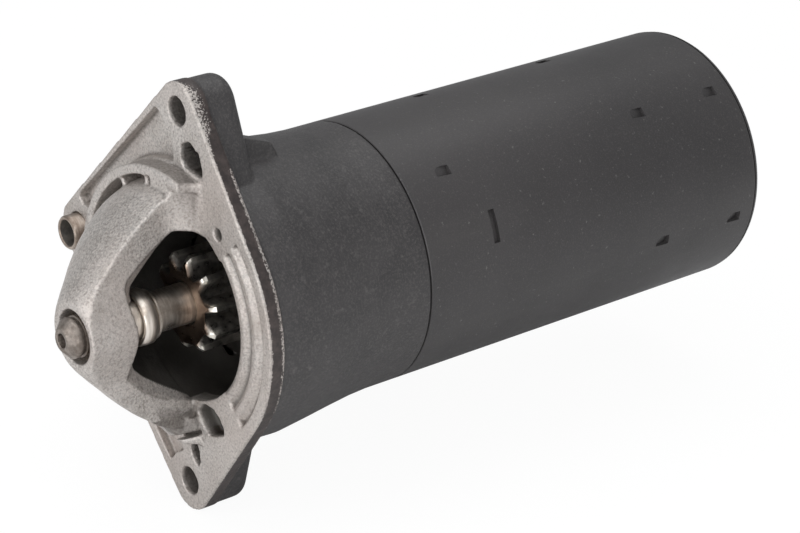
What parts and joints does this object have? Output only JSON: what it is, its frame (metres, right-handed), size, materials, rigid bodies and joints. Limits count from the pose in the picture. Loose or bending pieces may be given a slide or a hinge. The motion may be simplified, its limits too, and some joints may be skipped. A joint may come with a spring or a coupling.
{
  "type": "starter motor",
  "caption": "Gear-reduced starter motor with a flanged drive-end casting, windowed nose, sliding pinion, painted yoke and side solenoid.",
  "frame": {"origin": "where the shaft's axis meets the flange's mounting face", "axes": "-Y along the shaft toward the nose, +Y toward the motor's rear, +X to the window side, +Z to the upper bolt ear"},
  "size_m": [0.1206, 0.2257, 0.1299],
  "materials": {
    "cast_aluminium": "as cast, satin, bare on the flange and nose",
    "black_paint": "satin black enamel",
    "bright_steel": "turned, lightly oiled",
    "worn_shaft_steel": "turned, brownish and worn",
    "oiled_steel": "dark and oily",
    "bronze": "sintered",
    "copper": "drawn copper",
    "ferrite": "matt ferrite",
    "carbon": "pressed copper-carbon",
    "black_plastic": "moulded",
    "rubber": "matt"
  },
  "bodies": {
    "frame": {"drive_end_housing": "cast_aluminium", "locating_dowel": "bright_steel", "nose_bush": "bronze", "bearing_plate": "cast_aluminium", "bearing_bush": "bronze", "ring_gear": "oiled_steel", "yoke_tube": "black_paint", "magnet_1": "ferrite", "magnet_2": "ferrite", "magnet_3": "ferrite", "magnet_4": "ferrite", "magnet_5": "ferrite", "magnet_6": "ferrite", "brush_holder": "black_plastic", "brush_1": "carbon", "brush_2": "carbon", "brush_3": "carbon", "brush_4": "carbon", "brush_spring_1": "bright_steel", "brush_spring_2": "bright_steel", "brush_spring_3": "bright_steel", "brush_spring_4": "bright_steel", "commutator_end_cover": "black_paint", "rear_bush": "bronze", "rear_dust_cap": "bright_steel", "through_bolt_1": "bright_steel", "through_bolt_2": "bright_steel", "lever_pivot_pin": "bright_steel", "solenoid_case": "black_paint", "solenoid_coil": "copper", "solenoid_core": "bright_steel", "solenoid_cap": "black_plastic", "solenoid_screw_1": "bright_steel", "solenoid_screw_2": "bright_steel", "terminal_stud_1": "copper", "terminal_stud_2": "copper", "terminal_nut_1": "bright_steel", "terminal_nut_2": "bright_steel", "lead_grommet": "rubber", "motor_lead": "copper", "return_spring": "bright_steel"},
    "armature": {"armature_shaft": "bright_steel", "armature_core": "oiled_steel", "armature_winding": "copper", "commutator": "copper", "sun_gear": "bright_steel"},
    "output": {"output_shaft": "worn_shaft_steel", "stop_collar": "worn_shaft_steel", "thrust_ring": "worn_shaft_steel", "planet_pin_1": "bright_steel", "planet_pin_2": "bright_steel", "planet_pin_3": "bright_steel"},
    "planet_1": {"planet_gear_1": "bright_steel"},
    "planet_2": {"planet_gear_2": "bright_steel"},
    "planet_3": {"planet_gear_3": "bright_steel"},
    "clutch": {"clutch_housing": "worn_shaft_steel"},
    "pinion_body": {"pinion": "oiled_steel"},
    "lever": {"shift_lever": "bright_steel"},
    "plunger": {"solenoid_plunger": "bright_steel", "contact_disc": "copper"}
  },
  "joints": [
    {"name": "armature_spin", "type": "hinge", "parent": "frame", "child": "armature", "pos_m": [0, 0.1, 0], "axis": [0, 1, 0], "continuous": true},
    {"name": "output_spin", "type": "hinge", "parent": "frame", "child": "output", "pos_m": [0, 0.05, 0], "axis": [0, 1, 0], "continuous": true},
    {"name": "planet_1_spin", "type": "hinge", "parent": "output", "child": "planet_1", "pos_m": [0, 0.068, 0.0165], "axis": [0, 1, 0], "continuous": true},
    {"name": "planet_2_spin", "type": "hinge", "parent": "output", "child": "planet_2", "pos_m": [-0.01429, 0.068, -0.00825], "axis": [0, 1, 0], "continuous": true},
    {"name": "planet_3_spin", "type": "hinge", "parent": "output", "child": "planet_3", "pos_m": [0.01429, 0.068, -0.00825], "axis": [0, 1, 0], "continuous": true},
    {"name": "clutch_slide", "type": "slide", "parent": "output", "child": "clutch", "axis": [0, -1, 0], "range_m": [0, 0.0105]},
    {"name": "pinion_overrun", "type": "hinge", "parent": "clutch", "child": "pinion_body", "pos_m": [0, 0.01, 0], "axis": [0, 1, 0], "continuous": true},
    {"name": "lever_pivot", "type": "hinge", "parent": "frame", "child": "lever", "pos_m": [-0.03551, 0.036, -0.0205], "axis": [0.5, 0, -0.866], "range_deg": [0, 14.71]},
    {"name": "plunger_slide", "type": "slide", "parent": "frame", "child": "plunger", "axis": [0, 1, 0], "range_m": [0, 0.00578], "stiffness_N_per_m": 1200, "springref_m": -0.008, "deforming": ["return_spring"]}
  ],
  "couplings": [
    {"joint": "output_spin", "follows": "armature_spin", "ratio": 0.2},
    {"joint": "planet_1_spin", "follows": "armature_spin", "ratio": -0.53333},
    {"joint": "planet_2_spin", "follows": "armature_spin", "ratio": -0.53333},
    {"joint": "planet_3_spin", "follows": "armature_spin", "ratio": -0.53333},
    {"joint": "lever_pivot", "follows": "plunger_slide", "rad_per_m": 44.37},
    {"joint": "clutch_slide", "follows": "plunger_slide", "ratio": 1.8142}
  ]
}
